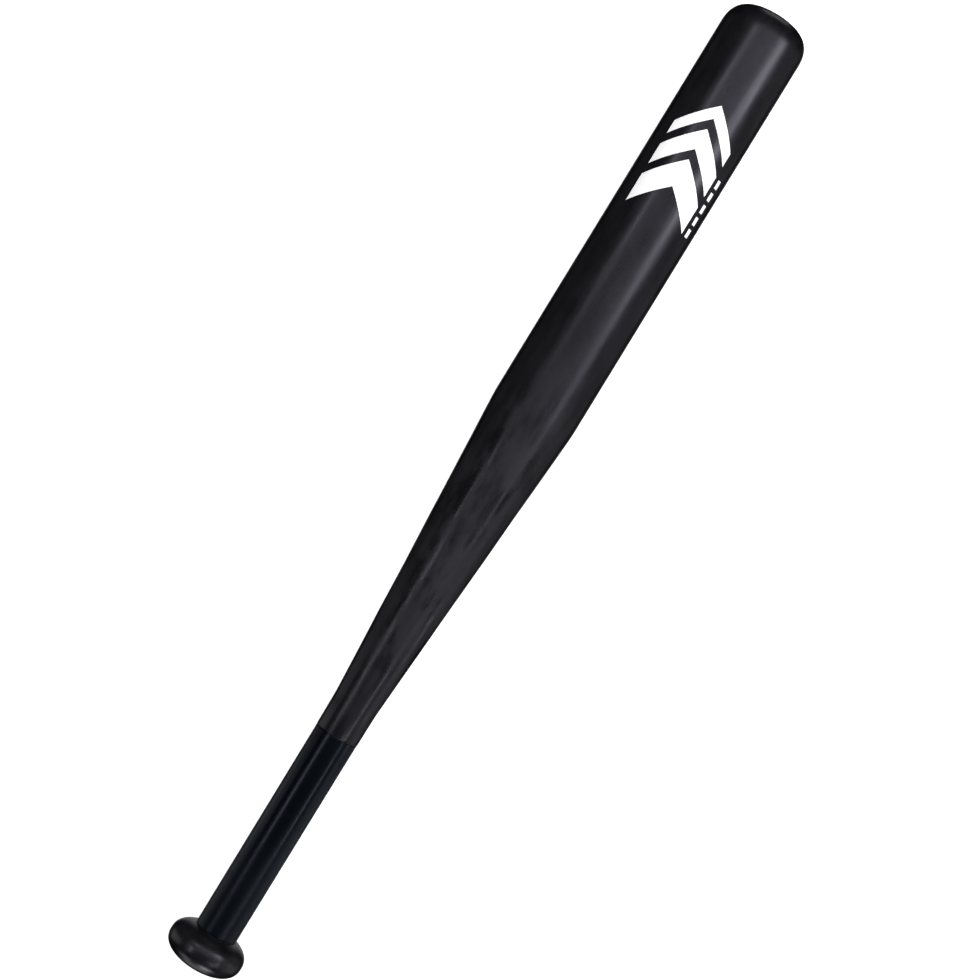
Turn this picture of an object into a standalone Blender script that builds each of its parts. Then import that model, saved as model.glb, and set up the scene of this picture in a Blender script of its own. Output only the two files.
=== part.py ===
"""A one-piece alloy baseball bat, lying along X with the centre of its knob's end face at the origin.

The bat is a drawn and swaged tube whose barrel end is spun in to a lip. A moulded plug closes the lip,
a foam damper sits behind the plug, and a welded knob closes the handle. A smooth sleeve over adhesive
tape makes the grip. Nothing on it moves. All sizes are in metres.
"""

import math

import bmesh
import bpy

# Overall sizes, measured along the bat from the knob's end face.
LENGTH = 0.635
BARREL_D = 0.0516
GRIP_END = 0.1546
BARE_HANDLE_LENGTH = 0.0206  # from the grip's end to the foot of the taper
TAPER_LENGTH = 0.1947

# The tube: its walls, and its spun end.
BARREL_WALL = 0.0018
HANDLE_WALL = 0.0024
NECK_ROOT_D = 0.0227  # under the grip, at the knob
NECK_TOP_D = 0.0233  # under the grip, at the grip's upper end
NECK_RAMP = 0.0020  # length of the inside cone from the neck to the bare handle
HANDLE_STEP = 0.00015  # the bare handle's surface stands this far above the sleeve's
HANDLE_FLARE = 0.0002  # how much the bare handle's radius grows up to the foot of the taper
SHOULDER_LENGTH = 0.0160
SHOULDER_WIDTH = 0.0165
SHOULDER_POWER = 2.4  # 2 would be an ellipse, and more is squarer
CROWN = 0.0008  # how far the plug's face stands past the tube's lip

# The knob.
KNOB_D = 0.0468
KNOB_BELOW = 0.0115  # from the end face to the widest ring
KNOB_ABOVE = 0.0109  # from the widest ring to the seat of the grip
KNOB_POWER = 2.4
KNOB_END_FLAT_R = 0.0090
KNOB_SEAT_RIM = 0.0004  # the seat's flat runs this far past the grip
KNOB_FLOOR = 0.0080

# The knob's plug.
PLUG_SHANK_R = 0.0045
PLUG_SHANK_WALL = 0.0023
PLUG_HEAD_REACH = 0.0020  # how far the head stands out past the shank
PLUG_HEAD_T = 0.0015
PLUG_BARB_REACH = 0.0013
PLUG_BARB_T = 0.0018

# The weld at the knob's mouth.
WELD_WIDTH = 0.0007
WELD_DEPTH = 0.0020

# The grip.
TAPE_WALL = 0.0003
TAPE_SEAM = 0.0015  # the tape is laid lengthwise, and its edges stay this far apart
SLEEVE_WALL = 0.0006
SLEEVE_EDGE = 0.0002  # chamfer on the sleeve's two outer edges

# The barrel's end plug, its adhesive and the damper.
END_FLAT_R = 0.0040
END_FLANGE_WIDTH = 0.0032  # how far the flange reaches past the plug's head
END_FLANGE_T = 0.0024
END_SKIRT_STEP = 0.0035  # the skirt's side lies this far inside the flange's rim
END_SKIRT_WALL = 0.0020
END_CUP_FLOOR = 0.0030
BEAD_WIDTH = 0.0020
BEAD_DEPTH = 0.0030
DAMPER_LENGTH = 0.0550
DAMPER_CHAMFER = 0.0020

GAP = 0.0003  # clearance between pieces that touch on a real bat
SIDES = 48  # flats round each turned piece
ARC_STEPS = 12  # along each rounded outline
CROWN_STEPS = 4
POLE_MERGE = 0.00001  # points nearer the axis than this become one
CUTTER_MARGIN = 0.0020

# Radii and places that follow from those sizes.
TAPER_START = GRIP_END + BARE_HANDLE_LENGTH
TAPER_END = TAPER_START + TAPER_LENGTH
BARREL_R = BARREL_D / 2
LIP_R = BARREL_R - SHOULDER_WIDTH
LIP_FACE = LENGTH - CROWN
SHOULDER_START = LIP_FACE - SHOULDER_LENGTH
NECK_ROOT_R = NECK_ROOT_D / 2
NECK_TOP_R = NECK_TOP_D / 2
TUBE_START = KNOB_FLOOR + GAP
KNOB_SEAT = KNOB_BELOW + KNOB_ABOVE
NECK_END = GRIP_END + GAP
GRIP_START = KNOB_SEAT + GAP
PLUG_HEAD_R = PLUG_SHANK_R + PLUG_HEAD_REACH
TAPE_LIFT = GAP + TAPE_WALL
SLEEVE_LIFT = TAPE_LIFT + GAP + SLEEVE_WALL
HANDLE_R = NECK_TOP_R + SLEEVE_LIFT + HANDLE_STEP
TAPER_ROOT_R = HANDLE_R + HANDLE_FLARE


def superellipse(width, length, power, steps=ARC_STEPS):
    """Offsets (out, along) of a quarter outline, from (width, 0) to (0, length)."""
    points = []
    for step in range(steps + 1):
        angle = math.pi / 2 * step / steps
        out = width * math.cos(angle) ** (2 / power) if step < steps else 0.0
        points.append((out, length * math.sin(angle) ** (2 / power)))
    return points


def superellipse_height(out, width, length, power):
    """The height of a quarter outline at a distance out from its axis."""
    return length * (1 - (out / width) ** power) ** (1 / power)


def neck_radius(x):
    """The tube's outer radius under the grip."""
    share = (x - TUBE_START) / (NECK_END - TUBE_START)
    return NECK_ROOT_R + (NECK_TOP_R - NECK_ROOT_R) * share


def shoulder_inside(radius):
    """Where the inside of the spun shoulder lies along the bat, at a radius."""
    return SHOULDER_START + superellipse_height(
        radius - LIP_R,
        SHOULDER_WIDTH - BARREL_WALL,
        SHOULDER_LENGTH - BARREL_WALL,
        SHOULDER_POWER,
    )


def make_material(name, colour, roughness, metallic=0.0):
    """A plain Principled material."""
    material = bpy.data.materials.new(name)
    material.use_nodes = True
    shader = material.node_tree.nodes["Principled BSDF"]
    shader.inputs["Base Color"].default_value = (*colour, 1.0)
    shader.inputs["Roughness"].default_value = roughness
    shader.inputs["Metallic"].default_value = metallic
    return material


def make_collection(name):
    """A new collection in the scene."""
    collection = bpy.data.collections.new(name)
    bpy.context.scene.collection.children.link(collection)
    return collection


def turned(name, profile, closed, collection, material, axis):
    """A body turned round the bat's axis from (x, radius) points that run down its outer side.

    The flats, not the corners, lie at the stated radii, and flats face up, down and to both sides.
    A profile that isn't closed starts and ends on the axis.
    """
    reach = 1 / math.cos(math.pi / SIDES)
    mesh = bpy.data.meshes.new(name)
    outline = bmesh.new()
    corners = [outline.verts.new((radius * reach, 0, x)) for x, radius in profile]
    for first, second in zip(corners, corners[1:]):
        outline.edges.new((first, second))
    if closed:
        outline.edges.new((corners[-1], corners[0]))
    outline.to_mesh(mesh)
    outline.free()
    mesh.materials.append(material)
    body = bpy.data.objects.new(name, mesh)
    collection.objects.link(body)
    body.parent = axis
    body.rotation_euler = (0, 0, math.pi / SIDES)
    screw = body.modifiers.new("Turn", "SCREW")
    screw.axis = "Z"
    screw.steps = SIDES
    screw.render_steps = SIDES
    screw.use_merge_vertices = True
    screw.merge_threshold = POLE_MERGE
    screw.use_smooth_shade = True
    return body


def bat_tube_profile():
    """The tube's outline: its outer side from the lip to the handle's end, then its bore."""
    shoulder = superellipse(SHOULDER_WIDTH, SHOULDER_LENGTH, SHOULDER_POWER)
    outer = [(SHOULDER_START + along, LIP_R + out) for out, along in reversed(shoulder)]
    outer += [(TAPER_END, BARREL_R), (TAPER_START, TAPER_ROOT_R), (NECK_END, HANDLE_R)]
    outer += [(NECK_END, NECK_TOP_R), (TUBE_START, NECK_ROOT_R)]
    inner = [(TUBE_START, NECK_ROOT_R - HANDLE_WALL), (NECK_END, NECK_TOP_R - HANDLE_WALL)]
    inner += [(NECK_END + NECK_RAMP, HANDLE_R - HANDLE_WALL)]
    inner += [(TAPER_START, TAPER_ROOT_R - HANDLE_WALL), (TAPER_END, BARREL_R - BARREL_WALL)]
    hollow = superellipse(SHOULDER_WIDTH - BARREL_WALL, SHOULDER_LENGTH - BARREL_WALL, SHOULDER_POWER)
    inner += [(SHOULDER_START + along, LIP_R + out) for out, along in hollow]
    return outer + inner


def knob_profile():
    """The knob: a flattened ball between two flats, with a socket for the tube and a hole for its plug."""
    radius = KNOB_D / 2
    seat_r = neck_radius(GRIP_START) + SLEEVE_LIFT + KNOB_SEAT_RIM
    top = []
    bottom = []
    for step in range(ARC_STEPS + 1):
        share = math.sin(math.pi / 2 * step / ARC_STEPS)
        top_r = seat_r + (radius - seat_r) * share
        bottom_r = KNOB_END_FLAT_R + (radius - KNOB_END_FLAT_R) * share
        top.append((KNOB_BELOW + squashed(top_r, seat_r, KNOB_ABOVE), top_r))
        bottom.append((KNOB_BELOW - squashed(bottom_r, KNOB_END_FLAT_R, KNOB_BELOW), bottom_r))
    hole_r = PLUG_SHANK_R + GAP
    head_r = PLUG_HEAD_R + GAP
    ledge = PLUG_HEAD_T + GAP
    groove = KNOB_SEAT - WELD_DEPTH - GAP
    groove_r = neck_radius(KNOB_SEAT) + GAP + WELD_WIDTH + GAP
    outline = top + bottom[-2::-1]
    outline += [(0, head_r), (ledge, head_r), (ledge, hole_r), (KNOB_FLOOR, hole_r)]
    outline += [(KNOB_FLOOR, NECK_ROOT_R + GAP), (groove, neck_radius(groove) + GAP)]
    return outline + [(groove, groove_r), (KNOB_SEAT, groove_r)]


def squashed(radius, flat_r, height):
    """The knob's height from its widest ring at a radius, where a flat of radius flat_r lies at height."""
    widest = KNOB_D / 2
    full = height / superellipse_height(flat_r, widest, 1.0, KNOB_POWER)
    return superellipse_height(radius, widest, full, KNOB_POWER)


def knob_weld_profile():
    """The ground-flush weld ring between the tube and the knob's mouth."""
    low = KNOB_SEAT - WELD_DEPTH
    inner_r = neck_radius(KNOB_SEAT) + GAP
    outer_r = inner_r + WELD_WIDTH
    return [(KNOB_SEAT, inner_r), (KNOB_SEAT, outer_r), (low, outer_r), (low, inner_r)]


def knob_plug_profile():
    """The snap-in plug, from its hollow barbed tip to its flat face."""
    barb = KNOB_FLOOR + GAP
    tip = barb + PLUG_BARB_T
    tip_r = PLUG_SHANK_R - PLUG_SHANK_WALL / 2
    bore_r = PLUG_SHANK_R - PLUG_SHANK_WALL
    barb_r = PLUG_SHANK_R + PLUG_BARB_REACH
    outline = [(PLUG_HEAD_T, 0), (PLUG_HEAD_T, bore_r), (tip, bore_r), (tip, tip_r)]
    outline += [(barb, barb_r), (barb, PLUG_SHANK_R), (PLUG_HEAD_T, PLUG_SHANK_R)]
    return outline + [(PLUG_HEAD_T, PLUG_HEAD_R), (0, PLUG_HEAD_R), (0, 0)]


def grip_layer(lift, wall, edge):
    """A thin sleeve round the neck, whose outer side is lift above it, with its outer edges chamfered."""
    top = neck_radius(GRIP_END) + lift
    low = neck_radius(GRIP_START) + lift
    outline = [(GRIP_END, top - wall), (GRIP_END, top - edge)]
    if edge:
        outline += [(GRIP_END - edge, top), (GRIP_START + edge, low)]
    return outline + [(GRIP_START, low - edge), (GRIP_START, low - wall)]


def end_plug_profile():
    """The barrel's plug: crowned head in the lip, flange behind the lip, and a hollow skirt."""
    head_r = LIP_R - GAP
    flange_r = head_r + END_FLANGE_WIDTH
    flange_face = shoulder_inside(flange_r + GAP) - GAP
    flange_back = flange_face - END_FLANGE_T
    skirt_end = SHOULDER_START + GAP
    cup_floor = flange_face - END_CUP_FLOOR
    skirt_r = flange_r - END_SKIRT_STEP
    cup_r = skirt_r - END_SKIRT_WALL
    outline = [(LENGTH, 0), (LENGTH, END_FLAT_R)]
    for step in range(1, CROWN_STEPS + 1):
        share = step / CROWN_STEPS
        outline.append((LENGTH - CROWN * share**2, END_FLAT_R + (head_r - END_FLAT_R) * share))
    outline += [(flange_face, head_r), (flange_face, flange_r), (flange_back, flange_r)]
    outline += [(flange_back, skirt_r), (skirt_end, skirt_r), (skirt_end, cup_r)]
    return outline + [(cup_floor, cup_r), (cup_floor, 0)]


def end_plug_bead_profile():
    """The adhesive bead in the corner between the plug's flange and the spun shoulder."""
    inner_r = LIP_R + END_FLANGE_WIDTH
    outer_r = inner_r + BEAD_WIDTH
    face = shoulder_inside(outer_r + GAP) - GAP
    back = face - BEAD_DEPTH
    return [(face, inner_r), (face, outer_r), (back, outer_r), (back, inner_r)]


def barrel_damper_profile():
    """The foam cylinder behind the plug, pressed into the barrel's bore."""
    radius = BARREL_R - BARREL_WALL - GAP
    back = SHOULDER_START - DAMPER_LENGTH
    small = radius - DAMPER_CHAMFER
    outline = [(SHOULDER_START, 0), (SHOULDER_START, small), (SHOULDER_START - DAMPER_CHAMFER, radius)]
    return outline + [(back + DAMPER_CHAMFER, radius), (back, small), (back, 0)]


def slit_lengthwise(body, width, cutters, axis):
    """Cut a narrow slit along one side of a turned sleeve."""
    mesh = bpy.data.meshes.new(body.name + "_slit")
    box = bmesh.new()
    bmesh.ops.create_cube(box, size=1.0)
    length = GRIP_END - GRIP_START + 2 * CUTTER_MARGIN
    depth = neck_radius(GRIP_END) + TAPE_LIFT + CUTTER_MARGIN
    bmesh.ops.scale(box, verts=box.verts, vec=(depth, width, length))
    bmesh.ops.translate(box, verts=box.verts, vec=(depth / 2, 0, (GRIP_START + GRIP_END) / 2))
    box.to_mesh(mesh)
    box.free()
    cutter = bpy.data.objects.new(body.name + "_slit", mesh)
    cutters.objects.link(cutter)
    cutter.parent = axis
    cutter.hide_render = True
    cutter.display_type = "WIRE"
    cut = body.modifiers.new("Seam", "BOOLEAN")
    cut.operation = "DIFFERENCE"
    cut.object = cutter


def clear_scene():
    """Remove everything that the file starts with."""
    for item in list(bpy.data.objects):
        bpy.data.objects.remove(item, do_unlink=True)


def build():
    """Make every piece of the bat."""
    clear_scene()
    bat = make_collection("baseball_bat")
    cutters = make_collection("cutters")
    axis = bpy.data.objects.new("bat_axis", None)
    axis.rotation_euler = (0, math.pi / 2, 0)
    bat.objects.link(axis)

    satin_paint = make_material("satin_black_paint", (0.012, 0.012, 0.013), 0.42)
    sleeve_rubber = make_material("smooth_grip_rubber", (0.006, 0.007, 0.010), 0.22)
    plug_rubber = make_material("plug_rubber", (0.010, 0.010, 0.010), 0.60)
    weld_metal = make_material("weld_metal", (0.45, 0.45, 0.46), 0.45, metallic=1.0)
    tape_film = make_material("adhesive_tape", (0.72, 0.66, 0.50), 0.55)
    cured_glue = make_material("cured_adhesive", (0.55, 0.50, 0.38), 0.35)
    foam = make_material("closed_cell_foam", (0.08, 0.08, 0.08), 0.95)

    pieces = (
        ("bat_tube", bat_tube_profile(), True, satin_paint),
        ("knob", knob_profile(), True, satin_paint),
        ("knob_weld", knob_weld_profile(), True, weld_metal),
        ("knob_plug", knob_plug_profile(), False, plug_rubber),
        ("grip_tape", grip_layer(TAPE_LIFT, TAPE_WALL, 0.0), True, tape_film),
        ("grip_sleeve", grip_layer(SLEEVE_LIFT, SLEEVE_WALL, SLEEVE_EDGE), True, sleeve_rubber),
        ("end_plug", end_plug_profile(), False, plug_rubber),
        ("end_plug_bead", end_plug_bead_profile(), True, cured_glue),
        ("barrel_damper", barrel_damper_profile(), False, foam),
    )
    bodies = {}
    for name, profile, closed, material in pieces:
        bodies[name] = turned(name, profile, closed, bat, material, axis)
    slit_lengthwise(bodies["grip_tape"], TAPE_SEAM, cutters, axis)


build()
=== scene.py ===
"""Studio scene of a one-piece alloy baseball bat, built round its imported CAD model.

The bat lies along X with the centre of its knob's end face at the origin. Lengths are in metres,
except where a name ends in _mm, and angles are in degrees. Fine turned bodies stand for the CAD
solids that show, and the solids inside the bat keep their shapes and take finishes of their own.
The bat rests on its knob and on the end of its taper, as a real one does.
"""

import logging
import math
from dataclasses import dataclass
from enum import Enum
from typing import Iterable

import bmesh
import bpy
from mathutils import Matrix, Vector, noise


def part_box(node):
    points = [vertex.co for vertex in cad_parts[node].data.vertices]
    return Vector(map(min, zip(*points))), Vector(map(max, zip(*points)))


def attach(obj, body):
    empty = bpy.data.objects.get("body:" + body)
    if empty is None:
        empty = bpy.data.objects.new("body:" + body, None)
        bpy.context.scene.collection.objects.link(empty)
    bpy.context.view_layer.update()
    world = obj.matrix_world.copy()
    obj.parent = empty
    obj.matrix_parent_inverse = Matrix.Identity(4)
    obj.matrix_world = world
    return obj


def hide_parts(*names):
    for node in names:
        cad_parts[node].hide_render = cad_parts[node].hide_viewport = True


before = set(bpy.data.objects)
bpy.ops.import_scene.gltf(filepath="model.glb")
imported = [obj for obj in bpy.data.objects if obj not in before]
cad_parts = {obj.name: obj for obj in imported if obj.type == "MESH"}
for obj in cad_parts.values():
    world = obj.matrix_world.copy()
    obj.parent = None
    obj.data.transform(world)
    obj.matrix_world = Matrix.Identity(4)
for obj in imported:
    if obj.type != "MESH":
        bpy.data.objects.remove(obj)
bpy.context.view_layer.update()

MM = 0.001
BODY = "root"  # nothing on the bat moves, so every piece rides on its one body
MERGE = 1e-6  # points nearer than this are one
TOUCH = 0.00005  # what is left between pieces that touch, so that their faces never coincide
NOISE_LOW, NOISE_HIGH = 0.3, 0.7  # nearly all of a noise's values lie between these
PLAIN, CLOUDY = 2.0, 3.0  # a noise's detail, for marks of about one size and for soft clouds
WHITE = "#ffffff"
BARREL_R = 0.02576  # 0.04 mm under the solid's, to leave room for the ink
TAPER_END = 0.3699
KNOB_RING = 0.0115  # where the knob is widest

log = logging.getLogger("bat")

Outline = list[tuple[float, float]]  # (x, radius) points down one side of a turned piece
Links = dict[str | int, object]  # a node's inputs, each a socket to link or a value to set
Tree = bpy.types.NodeTree
Node = bpy.types.Node
Socket = bpy.types.NodeSocket


# -------------------------------------------------------------------------------------------------
# Nodes and colours
# -------------------------------------------------------------------------------------------------


def linear(colour: str) -> tuple[float, float, float, float]:
    """Turn an sRGB hex colour to linear light.

    Args:
        colour: six hex digits, with or without a leading #.

    Returns:
        Red, green, blue and an alpha of 1.
    """
    digits = colour.lstrip("#")
    channels = (int(digits[i : i + 2], 16) / 255 for i in (0, 2, 4))
    red, green, blue = (
        channel / 12.92 if channel <= 0.04045 else ((channel + 0.055) / 1.055) ** 2.4
        for channel in channels
    )
    return red, green, blue, 1.0


def add(tree: Tree, kind: str, inputs: Links | None = None, **settings: object) -> Node:
    """Add one node, with its settings and its inputs.

    Args:
        tree: the node tree that the node joins.
        kind: the node's type, such as ShaderNodeTexNoise.
        inputs: for each input's name or place, the socket to link to it or the value to give it.
        settings: the node's own properties.

    Returns:
        The new node.
    """
    node = tree.nodes.new(kind)
    for name, value in settings.items():
        setattr(node, name, value)
    for key, value in (inputs or {}).items():
        if isinstance(value, Socket):
            tree.links.new(value, node.inputs[key])
        else:
            node.inputs[key].default_value = value
    return node


@dataclass(frozen=True)
class Finish:
    """One real material, as its surface was made. Each kind fills in `paint`."""

    name: str

    def make(self) -> bpy.types.Material:
        """Make the material.

        Returns:
            The material, with its nodes in place.
        """
        material = bpy.data.materials.new(self.name)
        material.use_nodes = True
        tree = material.node_tree
        shader = tree.nodes["Principled BSDF"]
        place = add(tree, "ShaderNodeTexCoord").outputs["Object"]
        self.paint(tree, shader, place)
        return material

    def paint(self, tree: Tree, shader: Node, place: Socket) -> None:
        """Add this finish's own nodes.

        Args:
            tree: the material's node tree.
            shader: its Principled shader.
            place: the point on the object, in metres.
        """
        raise NotImplementedError


@dataclass(frozen=True)
class SprayedEnamel(Finish):
    """Satin black enamel, sprayed on the swaged alloy tube and baked.

    To the eye it is a soft black that spreads a light into a broad band. Close up it has the fine
    dimples of sprayed paint, and faint lengthwise streaks and duller patches where the swaging dies
    worked the taper.
    """

    colour: str = "#0f0e11"
    dusted: str = "#1d1c20"
    gloss_colour: str = "#f1edff"
    roughness: float = 0.31
    roughness_spread: float = 0.06
    mottle_mm: float = 11.0
    mottle_stretch: float = 2.5
    mottle_detail: float = 4.0
    mottle_breakup: float = 0.6
    patch_low: float = 0.34  # the mottle's values between which paint turns to dusted paint
    patch_high: float = 0.66
    peel_mm: float = 2.0
    peel_height: float = 0.000007
    streak_mm: float = 6.0
    streak_stretch: float = 12.0
    streak_height: float = 0.00009
    streak_start: float = 0.17
    streak_end: float = 0.39
    unworked: float = 0.1  # how strong the streaks are off the taper, as a share
    rub_low: float = 0.42  # the mottle's values between which polished spots turn to dulled ones
    rub_high: float = 0.58
    dulled: float = 0.13
    polished: float = 0.06

    def paint(self, tree: Tree, shader: Node, place: Socket) -> None:
        """Add the paint's mottle, dimples and swaging streaks.

        Args:
            tree: the material's node tree.
            shader: its Principled shader.
            place: the point on the object, in metres.
        """
        shader.inputs["Specular Tint"].default_value = linear(self.gloss_colour)
        smeared = add(
            tree,
            "ShaderNodeMapping",
            {"Vector": place, "Scale": (1 / self.mottle_stretch, 1.0, 1.0)},
        )
        mottle = add(
            tree,
            "ShaderNodeTexNoise",
            {
                "Vector": smeared.outputs["Vector"],
                "Scale": 1 / (self.mottle_mm * MM),
                "Detail": self.mottle_detail,
                "Roughness": self.mottle_breakup,
            },
        )
        patches = add(
            tree,
            "ShaderNodeMapRange",
            {
                "Value": mottle.outputs["Fac"],
                "From Min": self.patch_low,
                "From Max": self.patch_high,
            },
        )
        shade = add(
            tree,
            "ShaderNodeMix",
            {"Factor": patches.outputs["Result"], 6: linear(self.colour), 7: linear(self.dusted)},
            data_type="RGBA",
        )
        tree.links.new(shade.outputs[2], shader.inputs["Base Color"])
        # Swaging stretches the surface lengthwise, so the streaks are far longer than wide.
        drawn = add(
            tree,
            "ShaderNodeMapping",
            {"Vector": place, "Scale": (1 / self.streak_stretch, 1.0, 1.0)},
        )
        streaks = add(
            tree,
            "ShaderNodeTexNoise",
            {
                "Vector": drawn.outputs["Vector"],
                "Scale": 1 / (self.streak_mm * MM),
                "Detail": PLAIN,
            },
        )
        along = add(tree, "ShaderNodeSeparateXYZ", {"Vector": place}).outputs["X"]
        middle = (self.streak_start + self.streak_end) / 2
        offset = add(tree, "ShaderNodeMath", {0: along, 1: middle}, operation="SUBTRACT")
        distance = add(tree, "ShaderNodeMath", {0: offset.outputs[0]}, operation="ABSOLUTE")
        worked = add(
            tree,
            "ShaderNodeMapRange",
            {
                "Value": distance.outputs[0],
                "From Min": (self.streak_end - self.streak_start) / 2,
                "From Max": (self.streak_end - self.streak_start) / 4,
                "To Min": self.unworked,
                "To Max": 1.0,
            },
            interpolation_type="SMOOTHSTEP",
        )
        rough = add(
            tree,
            "ShaderNodeMapRange",
            {
                "Value": streaks.outputs["Fac"],
                "From Min": NOISE_LOW,
                "From Max": NOISE_HIGH,
                "To Min": self.roughness - self.roughness_spread,
                "To Max": self.roughness + self.roughness_spread,
            },
        )
        rubbed = add(
            tree,
            "ShaderNodeMapRange",
            {
                "Value": mottle.outputs["Fac"],
                "From Min": self.rub_low,
                "From Max": self.rub_high,
                "To Min": -self.polished,
                "To Max": self.dulled,
            },
        )
        dull = add(
            tree,
            "ShaderNodeMath",
            {0: worked.outputs["Result"], 1: rubbed.outputs["Result"], 2: rough.outputs["Result"]},
            operation="MULTIPLY_ADD",
        )
        tree.links.new(dull.outputs[0], shader.inputs["Roughness"])
        marks = add(
            tree,
            "ShaderNodeMath",
            {0: streaks.outputs["Fac"], 1: worked.outputs["Result"]},
            operation="MULTIPLY",
        )
        swaged = add(
            tree,
            "ShaderNodeBump",
            {"Height": marks.outputs[0], "Distance": self.streak_height, "Strength": 1.0},
        )
        # Real dimples are about half a millimetre wide. They are drawn four times as wide, to show.
        peel = add(
            tree,
            "ShaderNodeTexNoise",
            {"Vector": place, "Scale": 1 / (self.peel_mm * MM), "Detail": PLAIN},
        )
        dimples = add(
            tree,
            "ShaderNodeBump",
            {
                "Height": peel.outputs["Fac"],
                "Distance": self.peel_height,
                "Strength": 1.0,
                "Normal": swaged.outputs["Normal"],
            },
        )
        tree.links.new(dimples.outputs["Normal"], shader.inputs["Normal"])


@dataclass(frozen=True)
class ShrunkSleeve(Finish):
    """Thin PVC grip sleeve, extruded and shrunk on to the handle.

    To the eye it is a wet-looking blue-black with narrow highlights and paler edges. Its die left
    faint lines along it, and it is duller by the knob, where hands rub it most.
    """

    colour: str = "#05080e"
    gloss_colour: str = "#d0dcf6"
    specular: float = 0.30
    bloom: float = 0.70
    bloom_roughness: float = 0.30
    bloom_colour: str = "#a8b4cc"
    gloss_roughness: float = 0.20
    dull_roughness: float = 0.32
    dull_end: float = 0.05
    gloss_start: float = 0.11
    cloud_mm: float = 9.0
    cloud_roughness: float = 0.08
    line_mm: float = 1.2
    line_stretch: float = 400.0
    line_height: float = 0.000010

    def paint(self, tree: Tree, shader: Node, place: Socket) -> None:
        """Add the sleeve's change of gloss and its die lines.

        Args:
            tree: the material's node tree.
            shader: its Principled shader.
            place: the point on the object, in metres.
        """
        shader.inputs["Base Color"].default_value = linear(self.colour)
        shader.inputs["Specular IOR Level"].default_value = self.specular
        shader.inputs["Specular Tint"].default_value = linear(self.gloss_colour)
        shader.inputs["Sheen Weight"].default_value = self.bloom
        shader.inputs["Sheen Roughness"].default_value = self.bloom_roughness
        shader.inputs["Sheen Tint"].default_value = linear(self.bloom_colour)
        # Real die lines are a few tenths of a millimetre apart. They are drawn coarser, to show.
        drawn = add(
            tree,
            "ShaderNodeMapping",
            {"Vector": place, "Scale": (1 / self.line_stretch, 1.0, 1.0)},
        )
        lines = add(
            tree,
            "ShaderNodeTexNoise",
            {"Vector": drawn.outputs["Vector"], "Scale": 1 / (self.line_mm * MM), "Detail": PLAIN},
        )
        clouds = add(
            tree,
            "ShaderNodeTexNoise",
            {"Vector": place, "Scale": 1 / (self.cloud_mm * MM), "Detail": CLOUDY},
        )
        along = add(tree, "ShaderNodeSeparateXYZ", {"Vector": place}).outputs["X"]
        gloss = add(
            tree,
            "ShaderNodeMapRange",
            {
                "Value": along,
                "From Min": self.dull_end,
                "From Max": self.gloss_start,
                "To Min": self.dull_roughness,
                "To Max": self.gloss_roughness,
            },
            interpolation_type="SMOOTHSTEP",
        )
        cloudy = add(
            tree,
            "ShaderNodeMath",
            {0: clouds.outputs["Fac"], 1: self.cloud_roughness, 2: gloss.outputs["Result"]},
            operation="MULTIPLY_ADD",
        )
        tree.links.new(cloudy.outputs[0], shader.inputs["Roughness"])
        ridged = add(
            tree,
            "ShaderNodeBump",
            {"Height": lines.outputs["Fac"], "Distance": self.line_height, "Strength": 1.0},
        )
        tree.links.new(ridged.outputs["Normal"], shader.inputs["Normal"])


@dataclass(frozen=True)
class Grained(Finish):
    """A plain material whose making left an even grain, such as moulded rubber, tape or foam.

    The grain breaks up its highlights, and its colour and gloss drift a little from place to place.
    """

    colour: str = "#101011"
    second: str = "#161617"
    roughness: float = 0.6
    roughness_spread: float = 0.06
    metallic: float = 0.0
    grain_mm: float = 0.6
    grain_height: float = 0.00002
    drift_mm: float = 6.0
    stretch: tuple[float, float, float] = (1.0, 1.0, 1.0)
    glow: float = 0.0

    def paint(self, tree: Tree, shader: Node, place: Socket) -> None:
        """Add the grain and the drift of colour and gloss.

        Args:
            tree: the material's node tree.
            shader: its Principled shader.
            place: the point on the object, in metres.
        """
        shader.inputs["Metallic"].default_value = self.metallic
        # A glow above nought is painted light: an emission on a surface that is no lamp.
        shader.inputs["Emission Color"].default_value = linear(self.second)
        shader.inputs["Emission Strength"].default_value = self.glow
        drawn = add(tree, "ShaderNodeMapping", {"Vector": place, "Scale": self.stretch})
        drift = add(
            tree,
            "ShaderNodeTexNoise",
            {"Vector": place, "Scale": 1 / (self.drift_mm * MM), "Detail": CLOUDY},
        )
        shade = add(
            tree,
            "ShaderNodeMix",
            {"Factor": drift.outputs["Fac"], 6: linear(self.colour), 7: linear(self.second)},
            data_type="RGBA",
        )
        tree.links.new(shade.outputs[2], shader.inputs["Base Color"])
        rough = add(
            tree,
            "ShaderNodeMapRange",
            {
                "Value": drift.outputs["Fac"],
                "From Min": NOISE_LOW,
                "From Max": NOISE_HIGH,
                "To Min": self.roughness - self.roughness_spread,
                "To Max": self.roughness + self.roughness_spread,
            },
        )
        tree.links.new(rough.outputs["Result"], shader.inputs["Roughness"])
        grain = add(
            tree,
            "ShaderNodeTexNoise",
            {"Vector": drawn.outputs["Vector"], "Scale": 1 / (self.grain_mm * MM), "Detail": PLAIN},
        )
        raised = add(
            tree,
            "ShaderNodeBump",
            {"Height": grain.outputs["Fac"], "Distance": self.grain_height, "Strength": 1.0},
        )
        tree.links.new(raised.outputs["Normal"], shader.inputs["Normal"])


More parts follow.
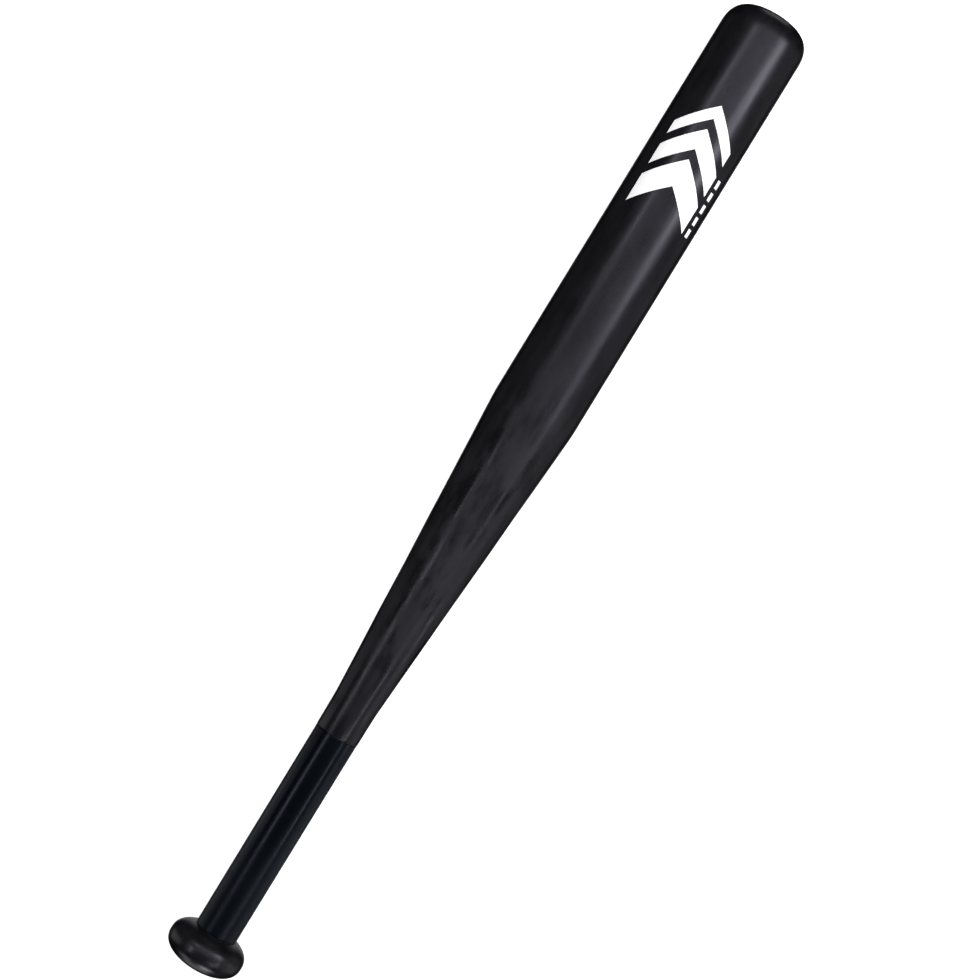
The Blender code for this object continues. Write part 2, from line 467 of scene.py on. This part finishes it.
@dataclass(frozen=True)
class StudioPaper(Finish):
    """Seamless white background paper, lit from below as well as from above to stay white."""

    colour: str = "#f4f4f4"
    second: str = "#f8f8f8"
    roughness: float = 0.9
    fibre_mm: float = 3.0
    glow: float = 0.86

    def paint(self, tree: Tree, shader: Node, place: Socket) -> None:
        """Add the paper's fibre and its own light.

        Args:
            tree: the material's node tree.
            shader: its Principled shader.
            place: the point on the object, in metres.
        """
        # Paper's fibres gather in soft clouds a few millimetres wide, and no single fibre shows.
        fibre = add(
            tree,
            "ShaderNodeTexNoise",
            {"Vector": place, "Scale": 1 / (self.fibre_mm * MM), "Detail": CLOUDY},
        )
        shade = add(
            tree,
            "ShaderNodeMix",
            {"Factor": fibre.outputs["Fac"], 6: linear(self.colour), 7: linear(self.second)},
            data_type="RGBA",
        )
        tree.links.new(shade.outputs[2], shader.inputs["Base Color"])
        shader.inputs["Roughness"].default_value = self.roughness
        shader.inputs["Emission Color"].default_value = linear(WHITE)
        shader.inputs["Emission Strength"].default_value = self.glow


PAPER = StudioPaper("white_background_paper")
ENAMEL = SprayedEnamel("sprayed_satin_enamel")
SLEEVE = ShrunkSleeve("shrunk_pvc_sleeve")
# Moulded rubber from a sparked mould: the fine matt grain of the mould shows as a soft, grey sheen.
MOULDED_RUBBER = Grained("moulded_rubber")
# Screen-printed ink: a thick, flat white, with the faint tooth that the screen's mesh leaves. Its
# glow is painted light: an emission that makes it look whiter than paper beside it.
SCREEN_INK = Grained(
    "screen_printed_ink",
    "#fbfbfb",
    WHITE,
    roughness=0.55,
    grain_mm=0.9,
    grain_height=0.000006,
    glow=0.45,
)
# Ground weld in 7000-series alloy: bright metal with short, fine grinding lines round the bat.
GROUND_WELD = Grained(
    "ground_alloy_weld",
    "#b9bbbe",
    "#a4a6a9",
    roughness=0.38,
    metallic=1.0,
    grain_mm=0.4,
    grain_height=0.00001,
    stretch=(4.0, 1.0, 1.0),
)
# Double-sided cloth tape: cream film with the dull ribs of its woven backing.
CLOTH_TAPE = Grained(
    "double_sided_tape", "#ddd3ba", "#d2c6a8", roughness=0.62, grain_mm=0.5, stretch=(1.0, 0.3, 0.3)
)
# Cured polyurethane adhesive: amber and glassy, with slow ripples where it was squeezed out.
CURED_GLUE = Grained(
    "cured_polyurethane", "#c4b68e", "#b5a67c", roughness=0.28, grain_mm=2.5, grain_height=0.00008
)
# Cross-linked polyethylene foam: charcoal and dead matt, with open cells on its cut faces.
CELL_FOAM = Grained(
    "closed_cell_foam", "#3b3b3d", "#2f2f31", roughness=0.92, grain_mm=1.1, grain_height=0.00025
)


# -------------------------------------------------------------------------------------------------
# Turned pieces
# -------------------------------------------------------------------------------------------------


@dataclass(frozen=True)
class Corner:
    """A corner of an outline, at (x, radius), that is rounded by a given width."""

    x: float
    radius: float
    width: float
    segments: int = 3


def quarter(width: float, length: float, power: float, steps: int) -> Outline:
    """The corner of a squared ellipse, from its widest point to its top.

    Args:
        width: how far it reaches out.
        length: how far it reaches along.
        power: 2 for an ellipse, and more for a squarer one.
        steps: how many straight runs follow the curve.

    Returns:
        (out, along) points, from (width, 0) to (0, length).
    """
    points = []
    for step in range(steps):
        turned = math.pi / 2 * step / steps
        out = width * math.cos(turned) ** (2 / power)
        points.append((out, length * math.sin(turned) ** (2 / power)))
    return points + [(0.0, length)]


def turn(
    outline: Outline,
    closed: bool,
    corners: Iterable[Corner] = (),
    cuts: Iterable[float] = (),
    sides: int = 192,
) -> bmesh.types.BMesh:
    """Turn an outline round the bat's axis into one closed shell.

    Args:
        outline: the points of the outline. An open one starts and ends on the axis.
        closed: whether the last point joins the first.
        corners: the outline's corners that are rounded before it is turned.
        cuts: places along the bat where the outline is cut, to keep its faces short.
        sides: how many steps the turn takes.

    Returns:
        The shell, whose faces point outwards.
    """
    shell = bmesh.new()
    points = [shell.verts.new((x, 0.0, radius)) for x, radius in outline]
    for first, second in zip(points, points[1:]):
        shell.edges.new((first, second))
    if closed:
        shell.edges.new((points[-1], points[0]))
    for corner in corners:
        at = Vector((corner.x, 0.0, corner.radius))
        nearest = min(shell.verts, key=lambda point: (point.co - at).length)
        bmesh.ops.bevel(
            shell,
            geom=[nearest],
            offset=corner.width,
            offset_type="OFFSET",
            segments=corner.segments,
            profile=0.5,
            affect="VERTICES",
            material=-1,
        )
    for place in cuts:
        bmesh.ops.bisect_plane(
            shell,
            geom=shell.verts[:] + shell.edges[:],
            dist=MERGE,
            plane_co=(place, 0.0, 0.0),
            plane_no=(1.0, 0.0, 0.0),
        )
    bmesh.ops.spin(
        shell,
        geom=shell.verts[:] + shell.edges[:],
        cent=(0.0, 0.0, 0.0),
        axis=(1.0, 0.0, 0.0),
        angle=math.tau,
        steps=sides,
        use_merge=True,
    )
    bmesh.ops.remove_doubles(shell, verts=shell.verts[:], dist=MERGE)
    bmesh.ops.recalc_face_normals(shell, faces=shell.faces[:])
    return shell


def evenly(start: float, end: float, step: float) -> list[float]:
    """Places from start to end, about one step apart."""
    count = round((end - start) / step)
    return [start + (end - start) * number / count for number in range(count + 1)]


def finished(
    name: str,
    shell: bmesh.types.BMesh,
    finish: bpy.types.Material,
    sharp: float = 35.0,
) -> bpy.types.Object:
    """Turn a shell into a smooth-shaded object that rides on the bat.

    Args:
        name: the new piece's name.
        shell: its shape, which is freed.
        finish: its material.
        sharp: edges that turn by more degrees than this stay crisp.

    Returns:
        The new piece.
    """
    for edge in shell.edges:
        edge.smooth = edge.calc_face_angle(0.0) < math.radians(sharp)
    for face in shell.faces:
        face.smooth = True
    mesh = bpy.data.meshes.new(name)
    shell.to_mesh(mesh)
    shell.free()
    mesh.materials.append(finish)
    piece = bpy.data.objects.new(name, mesh)
    bpy.context.scene.collection.objects.link(piece)
    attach(piece, BODY)
    return piece


def refinish(node: str, finish: bpy.types.Material) -> None:
    """Give a CAD node that stays a better material.

    Args:
        node: the node's name.
        finish: the material.
    """
    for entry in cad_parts[node].material_slots:
        entry.link = "OBJECT"
        entry.material = finish


# -------------------------------------------------------------------------------------------------
# The bat
# -------------------------------------------------------------------------------------------------


@dataclass
class BatTube:
    """The swaged tube: a straight barrel with its end spun in, a straight taper and a handle."""

    barrel_r: float = BARREL_R
    taper_start: float = 0.1752
    taper_end: float = TAPER_END
    taper_root_r: float = 0.0135
    handle_r: float = 0.0133
    neck_top_r: float = 0.01165
    neck_root_r: float = 0.01135
    handle_wall: float = 0.0024
    barrel_wall: float = 0.0018
    shoulder_length: float = 0.0160
    shoulder_width: float = 0.01646
    shoulder_power: float = 2.4
    shoulder_steps: int = 28
    handle_start: float = 0.1548
    step_edge: float = 0.00025
    root_blend: float = 0.0030
    top_blend: float = 0.0040
    lip_edge: float = 0.0003
    slice: float = 0.0030
    wave_height: float = 0.00030
    wave_length: float = 0.030
    wave_width: float = 0.008
    wave_focus: float = 1.5  # the higher, the more the ripples keep to the taper's middle
    wave_rest: float = 0.35  # the noise's value that leaves the surface where it is

    def build(self) -> bpy.types.Object:
        """Turn the tube, work its taper and paint it.

        Returns:
            The painted tube.
        """
        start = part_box("bat_tube")[0][0]
        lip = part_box("bat_tube")[1][0]
        shoulder = lip - self.shoulder_length
        lip_r = self.barrel_r - self.shoulder_width
        spun_in = quarter(
            self.shoulder_width,
            self.shoulder_length,
            self.shoulder_power,
            self.shoulder_steps,
        )
        outer = [(shoulder + along, lip_r + out) for out, along in reversed(spun_in)]
        outer += [(self.taper_end, self.barrel_r), (self.taper_start, self.taper_root_r)]
        outer += [(self.handle_start, self.handle_r), (self.handle_start, self.neck_top_r)]
        outer += [(start, self.neck_root_r)]
        hollow = quarter(
            self.shoulder_width - self.barrel_wall,
            self.shoulder_length - self.barrel_wall,
            self.shoulder_power,
            self.shoulder_steps // 2,
        )
        inner = [(start, self.neck_root_r - self.handle_wall)]
        inner += [(self.handle_start, self.neck_top_r - self.handle_wall)]
        inner += [(self.taper_start, self.taper_root_r - self.handle_wall)]
        inner += [(self.taper_end, self.barrel_r - self.barrel_wall)]
        inner += [(shoulder + along, lip_r + out) for out, along in hollow]
        corners = (
            Corner(self.handle_start, self.handle_r, self.step_edge),
            Corner(self.taper_start, self.taper_root_r, self.root_blend, segments=5),
            Corner(self.taper_end, self.barrel_r, self.top_blend, segments=6),
            Corner(lip, lip_r, self.lip_edge),
        )
        cuts = evenly(self.taper_start, shoulder, self.slice)
        shell = turn(outer + inner, closed=True, corners=corners, cuts=cuts)
        self.work(shell)
        piece = finished("painted_tube", shell, ENAMEL.make())
        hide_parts("bat_tube")
        return piece

    def work(self, shell: bmesh.types.BMesh) -> None:
        """Leave the swaging dies' slow ripples on the taper, about a tenth of a millimetre high.

        Args:
            shell: the turned tube.
        """
        for point in shell.verts:
            x, y, z = point.co
            share = (x - self.taper_start) / (self.taper_end - self.taper_start)
            if not 0.0 < share < 1.0:
                continue
            strength = math.sin(math.pi * share) ** self.wave_focus
            at = Vector((x / self.wave_length, y / self.wave_width, z / self.wave_width))
            radius = math.hypot(y, z)
            lift = self.wave_height * strength * (noise.noise(at) - self.wave_rest)
            point.co = (x, y * (1 + lift / radius), z * (1 + lift / radius))


@dataclass
class Knob:
    """The welded knob with its snap-in plug. Its weld is ground flush under the grip."""

    radius: float = 0.0234
    below: float = KNOB_RING
    above: float = 0.0109
    power: float = 2.4
    end_flat_r: float = 0.0090
    seat_r: float = 0.01328
    steps: int = 28
    floor: float = 0.0080
    hole_r: float = 0.0048
    counterbore_r: float = 0.0066
    counterbore_depth: float = 0.0018
    socket_r: float = 0.01140
    mouth_r: float = 0.01175
    seat_edge: float = 0.0004
    flat_edge: float = 0.0012
    counterbore_edge: float = 0.00015
    plug_shank_r: float = 0.0045
    plug_bore_r: float = 0.0022
    plug_head_t: float = 0.0015
    plug_dish: float = 0.0003
    plug_rim: float = 0.0012  # how wide the rim round the dish is
    plug_slope: float = 0.0006  # how wide the slope from the rim into the dish is
    plug_edge: float = 0.0002
    barb_out: float = 0.0013  # how far the barb stands out from the shank, and the tip in from it
    barb_in: float = 0.0011
    plug_sides: int = 96

    def side(self, flat_r: float, height: float, sign: int) -> Outline:
        """One side of the flattened ball, from its flat out to its widest ring.

        Args:
            flat_r: the flat's radius.
            height: the flat's distance from the widest ring.
            sign: 1 for the grip's side, and -1 for the end.

        Returns:
            (x, radius) points.
        """
        full = height / (1 - (flat_r / self.radius) ** self.power) ** (1 / self.power)
        points = []
        for step in range(self.steps + 1):
            radius = flat_r + (self.radius - flat_r) * math.sin(math.pi / 2 * step / self.steps)
            along = full * (1 - (radius / self.radius) ** self.power) ** (1 / self.power)
            points.append((self.below + sign * along, radius))
        return points

    def build(self) -> bpy.types.Object:
        """Turn the knob and paint it.

        Returns:
            The painted knob.
        """
        seat = self.below + self.above
        outline = self.side(self.seat_r, self.above, 1)
        outline += self.side(self.end_flat_r, self.below, -1)[-2::-1]
        outline += [(0.0, self.counterbore_r), (self.counterbore_depth, self.counterbore_r)]
        outline += [(self.counterbore_depth, self.hole_r), (self.floor, self.hole_r)]
        outline += [(self.floor, self.socket_r), (seat, self.mouth_r)]
        corners = (
            Corner(seat, self.seat_r, self.seat_edge, segments=4),
            Corner(0.0, self.end_flat_r, self.flat_edge, segments=5),
            Corner(0.0, self.counterbore_r, self.counterbore_edge),
        )
        shell = turn(outline, closed=True, corners=corners)
        piece = finished("painted_knob", shell, ENAMEL.make())
        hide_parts("knob")
        return piece

    def build_plug(self) -> bpy.types.Object:
        """Turn the rubber plug in the knob's end, with its slightly dished face.

        Returns:
            The plug.
        """
        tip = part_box("knob_plug")[1][0]
        head_r = self.counterbore_r - 2 * TOUCH
        barb = self.floor + 2 * TOUCH
        rim_r = head_r - self.plug_rim
        outline = [(self.plug_dish, 0.0), (self.plug_dish, rim_r - self.plug_slope), (0.0, rim_r)]
        outline += [(0.0, head_r), (self.plug_head_t, head_r)]
        outline += [(self.plug_head_t, self.plug_shank_r), (barb, self.plug_shank_r)]
        outline += [(barb, self.plug_shank_r + self.barb_out)]
        outline += [(tip, self.plug_shank_r - self.barb_in), (tip, self.plug_bore_r)]
        outline += [(self.plug_head_t, self.plug_bore_r), (self.plug_head_t, 0.0)]
        corners = (Corner(0.0, head_r, self.plug_edge), Corner(0.0, rim_r, self.plug_edge))
        shell = turn(outline, closed=False, corners=corners, sides=self.plug_sides)
        piece = finished("knob_button", shell, MOULDED_RUBBER.make())
        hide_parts("knob_plug")
        return piece


@dataclass
class Grip:
    """The smooth sleeve, shrunk on from the knob's seat up to the bare handle."""

    root_r: float = 0.01288
    top_r: float = 0.01315
    wall: float = 0.0006
    seat: float = 0.0224
    edge: float = 0.00018
    root_edge: float = 0.00035
    slice: float = 0.006
    slice_inset: float = 0.001  # how far the first and last cuts are from the sleeve's ends

    def build(self) -> bpy.types.Object:
        """Turn the sleeve.

        Returns:
            The sleeve.
        """
        low = self.seat + TOUCH
        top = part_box("grip_sleeve")[1][0] + TOUCH
        outline = [(top, self.top_r - self.wall), (top, self.top_r), (low, self.root_r)]
        outline += [(low, self.root_r - self.wall)]
        corners = (Corner(top, self.top_r, self.edge), Corner(low, self.root_r, self.root_edge))
        cuts = evenly(low + self.slice_inset, top - self.slice_inset, self.slice)
        shell = turn(outline, closed=True, corners=corners, cuts=cuts)
        piece = finished("shrunk_sleeve", shell, SLEEVE.make())
        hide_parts("grip_sleeve")
        return piece


@dataclass
class BarrelEnd:
    """The rubber plug that closes the spun lip. Its adhesive and the foam damper lie behind it."""

    head_r: float = 0.00925
    flat_r: float = 0.0040
    crown: float = 0.0008
    crown_steps: int = 8
    flange_r: float = 0.0122
    flange_face: float = 0.6313
    flange_t: float = 0.0024
    skirt_r: float = 0.0087
    cup_r: float = 0.0067
    cup_floor: float = 0.6283
    gate_r: float = 0.0009
    gate_depth: float = 0.0003
    edge: float = 0.0003
    sides: int = 128

    def build(self) -> bpy.types.Object:
        """Turn the plug, with the small sunk mark of its moulding gate in the middle.

        Returns:
            The plug.
        """
        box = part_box("end_plug")
        back, face = box[0][0], box[1][0]
        gate = face - self.gate_depth
        outline = [(gate, 0.0), (gate, self.gate_r), (face, self.gate_r)]
        for step in range(self.crown_steps + 1):
            share = step / self.crown_steps
            radius = self.flat_r + (self.head_r - self.flat_r) * share
            outline.append((face - self.crown * share**2, radius))
        flange_back = self.flange_face - self.flange_t
        outline += [(self.flange_face, self.head_r), (self.flange_face, self.flange_r)]
        outline += [(flange_back, self.flange_r), (flange_back, self.skirt_r), (back, self.skirt_r)]
        outline += [(back, self.cup_r), (self.cup_floor, self.cup_r), (self.cup_floor, 0.0)]
        corners = (Corner(face - self.crown, self.head_r, self.edge),)
        shell = turn(outline, closed=False, corners=corners, sides=self.sides)
        piece = finished("barrel_cap", shell, MOULDED_RUBBER.make())
        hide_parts("end_plug")
        return piece


class Mark(Enum):
    """The plain shapes of the generic print."""

    CHEVRON = "chevron"
    DASH = "dash"


@dataclass
class BarrelPrint:
    """A generic white print on the barrel's upper side: bold chevrons and a row of dashes."""

    barrel_r: float = BARREL_R
    ink: float = 0.00003
    sunk: float = 0.00001
    start: float = 0.499
    reach: float = 0.0205
    slant: float = 0.0190
    widths: tuple[float, ...] = (0.0175, 0.0130, 0.0085)
    space: float = 0.0068
    dash_count: int = 5
    dash_length: float = 0.0052
    dash_width: float = 0.0030
    dash_pitch: float = 0.0080
    dash_offset: float = 0.0238
    cut: float = 0.0010

    def flat(self, mark: Mark, x: float, width: float) -> bmesh.types.BMesh:
        """Lay one mark out flat, with X along the bat and Y round it.

        Args:
            mark: the mark's shape.
            x: where its lower edge begins.
            width: how wide it is along the bat.

        Returns:
            The flat mark, cut into strips so that it can be bent.
        """
        shape = bmesh.new()
        if mark is Mark.CHEVRON:
            lean, low, high = self.slant, 0.0, self.reach
        else:
            lean, low, high = 0.0, self.dash_offset, self.dash_offset + self.dash_width
        corners = ((x + lean, low), (x + lean + width, low), (x + width, high), (x, high))
        shape.faces.new([shape.verts.new((along, across, 0.0)) for along, across in corners])
        if mark is Mark.CHEVRON:
            whole = shape.verts[:] + shape.edges[:] + shape.faces[:]
            bmesh.ops.mirror(shape, geom=whole, axis="Y", merge_dist=MERGE)
            low = -high
        for place in evenly(low, high, self.cut)[1:-1]:
            bmesh.ops.bisect_plane(
                shape,
                geom=shape.verts[:] + shape.edges[:] + shape.faces[:],
                dist=MERGE,
                plane_co=(0.0, place, 0.0),
                plane_no=(0.0, 1.0, 0.0),
            )
        return shape

    def wrap(self, shape: bmesh.types.BMesh) -> None:
        """Give a flat mark the ink's thickness and bend it on to the barrel.

        Args:
            shape: the flat mark.
        """
        bmesh.ops.recalc_face_normals(shape, faces=shape.faces[:])
        raised = bmesh.ops.extrude_face_region(shape, geom=shape.faces[:])
        top = [item for item in raised["geom"] if isinstance(item, bmesh.types.BMVert)]
        bmesh.ops.translate(shape, verts=top, vec=(0.0, 0.0, self.ink + self.sunk))
        for point in shape.verts:
            along, across, height = point.co
            radius = self.barrel_r - self.sunk + height
            turned = across / self.barrel_r
            point.co = (along, -radius * math.sin(turned), radius * math.cos(turned))
        bmesh.ops.recalc_face_normals(shape, faces=shape.faces[:])

    def build(self) -> list[bpy.types.Object]:
        """Print every mark.

        Returns:
            The marks, one piece for each.
        """
        ink = SCREEN_INK.make()
        pieces = []
        x = self.start
        for number, width in enumerate(self.widths, 1):
            shape = self.flat(Mark.CHEVRON, x, width)
            self.wrap(shape)
            pieces.append(finished(f"print_chevron_{number}", shape, ink))
            x += width + self.space
        for number in range(self.dash_count):
            shape = self.flat(Mark.DASH, self.start + number * self.dash_pitch, self.dash_length)
            self.wrap(shape)
            pieces.append(finished(f"print_dash_{number + 1}", shape, ink))
        return pieces


# -------------------------------------------------------------------------------------------------
# The studio
# -------------------------------------------------------------------------------------------------


@dataclass(frozen=True)
class SoftBox:
    """A soft rectangular light that faces the bat's axis, with its length along the bat."""

    name: str
    angle: float  # from straight up, towards -Y
    distance: float
    x: float
    length: float
    width: float
    power: float
    faces_x: float | None = None  # where on the axis it faces, unless that is straight across

    def build(self) -> bpy.types.Object:
        """Hang the light.

        Returns:
            The light, in place.
        """
        lamp = bpy.data.lights.new(self.name, "AREA")
        lamp.shape = "RECTANGLE"
        lamp.size = self.length
        lamp.size_y = self.width
        lamp.energy = self.power
        light = bpy.data.objects.new(self.name, lamp)
        tilt = math.radians(self.angle)
        place = Vector((self.x, -self.distance * math.sin(tilt), self.distance * math.cos(tilt)))
        faced_x = self.x if self.faces_x is None else self.faces_x
        back = (place - Vector((faced_x, 0.0, 0.0))).normalized()
        along = (Vector((1.0, 0.0, 0.0)) - back * back.x).normalized()
        turned = Matrix((along, back.cross(along), back)).transposed().to_4x4()
        light.matrix_world = Matrix.Translation(place) @ turned
        light.visible_camera = False
        bpy.context.scene.collection.objects.link(light)
        return light


@dataclass
class Studio:
    """The pale floor that the bat lies on, its lights, and a camera straight above it."""

    floor_r: float = 30.0
    floor_sides: int = 96
    knob_ring: float = KNOB_RING
    taper_end: float = TAPER_END
    height: float = 1.145
    aim_x: float = 0.3197
    aim_y: float = -0.0017
    roll: float = -58.53
    lens: float = 73.5  # millimetres, as the sensor's width is
    sensor: float = 36.0
    view_depth: float = 100.0
    lights: tuple[SoftBox, ...] = (
        # Each has a name, angle, distance, x, length, width and power, in that order.
        # The keys draw the long highlight on the near side.
        SoftBox("key_over_barrel_end", 50.0, 1.2, 0.90, 0.50, 0.46, 3.3),
        SoftBox("key_strip_over_taper", 52.0, 1.2, 0.58, 0.84, 0.10, 1.2),
        SoftBox("key_strip_over_handle", 51.0, 1.2, -0.22, 0.46, 0.12, 0.75),
        # These lift the near edge of the taper and of the handle.
        SoftBox("low_strip_over_taper", 86.0, 1.2, 0.07, 0.16, 0.40, 0.35),
        SoftBox("low_strip_over_handle", 98.0, 1.2, -0.32, 0.44, 1.20, 0.8),
        # The rims draw the thin highlight on the far side.
        SoftBox("rim_over_barrel_end", -31.0, 1.2, 0.85, 0.50, 0.12, 1.0),
        SoftBox("rim_over_handle", -36.0, 1.2, -0.10, 0.60, 0.13, 1.1),
        SoftBox("low_rim_over_handle", -100.0, 1.2, -0.30, 0.48, 1.20, 1.0),
        # The canopies give the broad, soft light on the top, stronger on the barrel.
        SoftBox("canopy", 9.0, 1.2, 0.46, 0.92, 1.90, 1.1),
        SoftBox("canopy_over_barrel", 9.0, 1.2, 0.77, 0.43, 1.90, 13.5),
        # The walls keep the two edges from sinking to black.
        SoftBox("near_wall", 98.0, 1.2, 0.45, 1.40, 1.50, 1.2),
        SoftBox("far_wall", -98.0, 1.2, 0.45, 1.40, 1.50, 0.35),
        # These give the knob its light spots.
        SoftBox("knob_spot", 38.0, 1.2, -0.48, 0.20, 0.20, 0.8),
        SoftBox("near_knob_end", 57.0, 0.42, -1.12, 0.40, 0.40, 4.0, faces_x=0.0),
        SoftBox("far_knob_end", -72.0, 0.46, -1.10, 0.50, 0.50, 1.2, faces_x=0.0),
        # The bounces light the underside and both end faces.
        SoftBox("bounce_under_bat", 180.0, 1.2, 0.32, 1.60, 0.90, 2.5),
        SoftBox("bounce_at_knob", 180.0, 0.35, -1.15, 0.60, 0.60, 1.3, faces_x=0.0),
        SoftBox("bounce_at_barrel", 180.0, 0.35, 1.80, 0.60, 0.60, 0.9, faces_x=0.635),
    )

    def lay_floor(self) -> None:
        """Lay the floor under the knob and the end of the taper, where the bat rests."""
        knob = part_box("knob")[0]
        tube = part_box("bat_tube")[0]
        slope = math.atan2(knob[2] - tube[2], self.taper_end - self.knob_ring)
        sheet = bmesh.new()
        bmesh.ops.create_circle(
            sheet,
            cap_ends=True,
            radius=self.floor_r,
            segments=self.floor_sides,
        )
        level = Matrix.Translation((self.taper_end, 0.0, tube[2])) @ Matrix.Rotation(slope, 4, "Y")
        bmesh.ops.transform(sheet, matrix=level, verts=sheet.verts)
        mesh = bpy.data.meshes.new("floor")
        sheet.to_mesh(mesh)
        sheet.free()
        mesh.materials.append(PAPER.make())
        floor = bpy.data.objects.new("floor", mesh)
        floor.visible_glossy = False
        floor.visible_diffuse = False
        bpy.context.scene.collection.objects.link(floor)

    def surround(self) -> None:
        """Make the air as bright as the floor's far edge, and keep its light off the bat."""
        world = bpy.data.worlds.new("white_surround")
        world.use_nodes = True
        air = world.node_tree.nodes["Background"]
        air.inputs["Color"].default_value = linear(WHITE)
        air.inputs["Strength"].default_value = PAPER.glow
        world.cycles_visibility.diffuse = False
        world.cycles_visibility.glossy = False
        bpy.context.scene.world = world

    def place_camera(self) -> None:
        """Hang the camera straight above the bat, turned so that the barrel points up and right."""
        camera = bpy.data.cameras.new("camera")
        camera.lens = self.lens
        camera.sensor_width = self.sensor
        camera.clip_end = self.view_depth
        holder = bpy.data.objects.new("camera", camera)
        holder.location = (self.aim_x, self.aim_y, self.height)
        holder.rotation_euler = (0.0, 0.0, math.radians(self.roll))
        bpy.context.scene.collection.objects.link(holder)
        bpy.context.scene.camera = holder

    def build(self) -> None:
        """Set the whole studio up."""
        self.lay_floor()
        self.surround()
        for light in self.lights:
            light.build()
        self.place_camera()
        bpy.context.scene.view_settings.view_transform = "Standard"


def report(piece: bpy.types.Object) -> None:
    """Log one piece's name and its number of faces."""
    log.info("%s: %d faces", piece.name, len(piece.data.polygons))


def main() -> None:
    """Build the bat from the knob up, then the studio round it."""
    logging.basicConfig(level=logging.INFO, format="%(name)s: %(message)s")
    knob = Knob()
    report(knob.build())
    report(knob.build_plug())
    report(Grip().build())
    report(BatTube().build())
    report(BarrelEnd().build())
    for piece in BarrelPrint().build():
        report(piece)
    refinish("knob_weld", GROUND_WELD.make())
    refinish("grip_tape", CLOTH_TAPE.make())
    refinish("end_plug_bead", CURED_GLUE.make())
    refinish("barrel_damper", CELL_FOAM.make())
    Studio().build()


if __name__ == "__main__":
    main()
